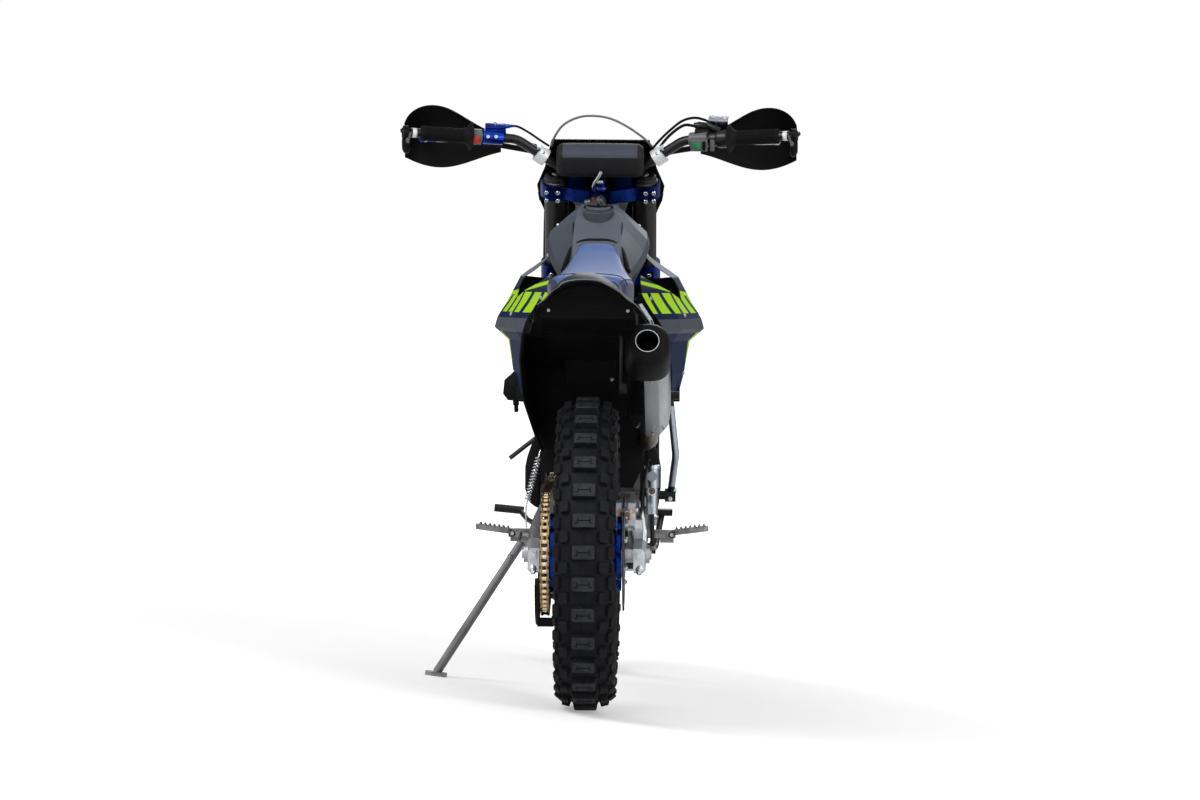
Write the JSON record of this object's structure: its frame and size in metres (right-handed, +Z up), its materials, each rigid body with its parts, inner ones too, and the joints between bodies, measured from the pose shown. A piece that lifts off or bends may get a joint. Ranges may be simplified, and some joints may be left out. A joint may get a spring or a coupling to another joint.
{
  "type": "dirt bike",
  "caption": "Off-road motorcycle leaning on its side stand, with turning wheels, a steered fork and handlebar with hand guards, and a folding stand.",
  "frame": {"origin": "on the floor, under the middle of the whole machine", "axes": "+Y the way the machine rides, +X to the rider's right, +Z up; the machine leans about Y onto its side stand, at -X"},
  "size_m": [0.9033, 2.2254, 1.3499],
  "materials": {
    "frame_black": "semi-gloss black paint on steel tube",
    "subframe_alloy": "plain alloy tube",
    "swingarm_alloy": "brushed silver alloy",
    "axle_steel": "plated steel",
    "shock_body": "silver body with a coil spring",
    "engine_cases": "cast alloy",
    "engine_top": "cast alloy",
    "muffler_shell": "brushed silver shell with a black end",
    "pipe_steel": "heat-tinted steel",
    "fender_plastic": "white moulded plastic, black below",
    "inner_fender_plastic": "black moulded plastic",
    "panel_plastic": "light grey moulded plastic",
    "seat_cover": "navy-blue gripper vinyl",
    "tank_cover": "grey moulded plastic",
    "radiator_core": "black painted alloy core",
    "shroud_plastic": "light grey plastic with plain colour bands",
    "skid_alloy": "plain alloy sheet",
    "chain_gold": "gold plated links",
    "sprocket_steel": "plain steel",
    "guide_plastic": "black nylon",
    "peg_steel": "grey cast steel",
    "lever_black": "black alloy",
    "pedal_black": "black alloy",
    "kick_alloy": "silver alloy",
    "rear_caliper_metal": "gold-brown caliper",
    "rear_tyre": "knobbly rubber",
    "rear_rim_blue": "blue anodised",
    "rear_hub_blue": "blue anodised hub with steel spokes",
    "rear_sprocket_blue": "blue anodised",
    "rear_disc_steel": "ground steel",
    "fork_black": "black anodised tube",
    "bar_black": "black anodised tube",
    "clamp_blue": "blue anodised",
    "slider_metal": "hard-chromed tube and cast lug",
    "guard_plastic": "black moulded plastic",
    "grip_rubber": "ribbed black rubber",
    "pad_foam": "dark grey padded cover",
    "hand_controls_metal": "black and blue perches with silver levers",
    "hand_guard_plastic": "black moulded plastic",
    "mask_plastic": "black moulded plastic",
    "lamp_lens": "clear lamp lens",
    "cable_black": "black hoses and cables",
    "front_caliper_metal": "dark cast alloy",
    "front_fender_plastic": "navy moulded plastic",
    "front_tyre": "knobbly rubber",
    "front_rim_blue": "blue anodised",
    "front_hub_blue": "blue anodised hub with steel spokes",
    "front_disc_steel": "ground steel",
    "stand_alloy": "grey alloy tube"
  },
  "bodies": {
    "chassis": {"main_frame": "frame_black", "subframe": "subframe_alloy", "swingarm": "swingarm_alloy", "rear_axle": "axle_steel", "rear_shock": "shock_body", "crankcase": "engine_cases", "cylinder": "engine_top", "muffler": "muffler_shell", "exhaust_pipe": "pipe_steel", "rear_fender": "fender_plastic", "inner_fender": "inner_fender_plastic", "side_panels": "panel_plastic", "seat": "seat_cover", "fuel_tank": "tank_cover", "radiators": "radiator_core", "shrouds": "shroud_plastic", "skid_plate": "skid_alloy", "chain": "chain_gold", "front_sprocket": "sprocket_steel", "chain_guide": "guide_plastic", "footpegs": "peg_steel", "gear_lever": "lever_black", "brake_pedal": "pedal_black", "kickstarter": "kick_alloy", "rear_caliper": "rear_caliper_metal"},
    "rear_wheel": {"rear_tyre": "rear_tyre", "rear_rim": "rear_rim_blue", "rear_hub": "rear_hub_blue", "rear_sprocket": "rear_sprocket_blue", "rear_disc": "rear_disc_steel"},
    "steering": {"fork_tubes": "fork_black", "fork_clamps": "clamp_blue", "fork_sliders": "slider_metal", "handlebar": "bar_black", "fork_guards": "guard_plastic", "grips": "grip_rubber", "bar_pad": "pad_foam", "hand_controls": "hand_controls_metal", "hand_guards": "hand_guard_plastic", "headlight_mask": "mask_plastic", "headlamp": "lamp_lens", "front_caliper": "front_caliper_metal", "front_fender": "front_fender_plastic", "cables": "cable_black"},
    "front_wheel": {"front_tyre": "front_tyre", "front_rim": "front_rim_blue", "front_hub": "front_hub_blue", "front_disc": "front_disc_steel"},
    "side_stand": {"side_stand": "stand_alloy"}
  },
  "joints": [
    {"name": "steering", "type": "hinge", "parent": "chassis", "child": "steering", "pos_m": [0.12172, 0.71169, 0.31785], "axis": [-0.1148, -0.454, 0.8836], "range_deg": [-40, 40]},
    {"name": "front_wheel_spin", "type": "hinge", "parent": "steering", "child": "front_wheel", "pos_m": [0.11822, 0.765, 0.34478], "axis": [0.9917, 0, 0.1288], "continuous": true},
    {"name": "rear_wheel_spin", "type": "hinge", "parent": "chassis", "child": "rear_wheel", "pos_m": [0.11963, -0.715, 0.33392], "axis": [0.9917, 0, 0.1288], "continuous": true},
    {"name": "side_stand", "type": "hinge", "parent": "chassis", "child": "side_stand", "pos_m": [-0.02712, -0.29, 0.33026], "axis": [0.9708, 0.2192, -0.0975], "range_deg": [-104, 0]}
  ]
}
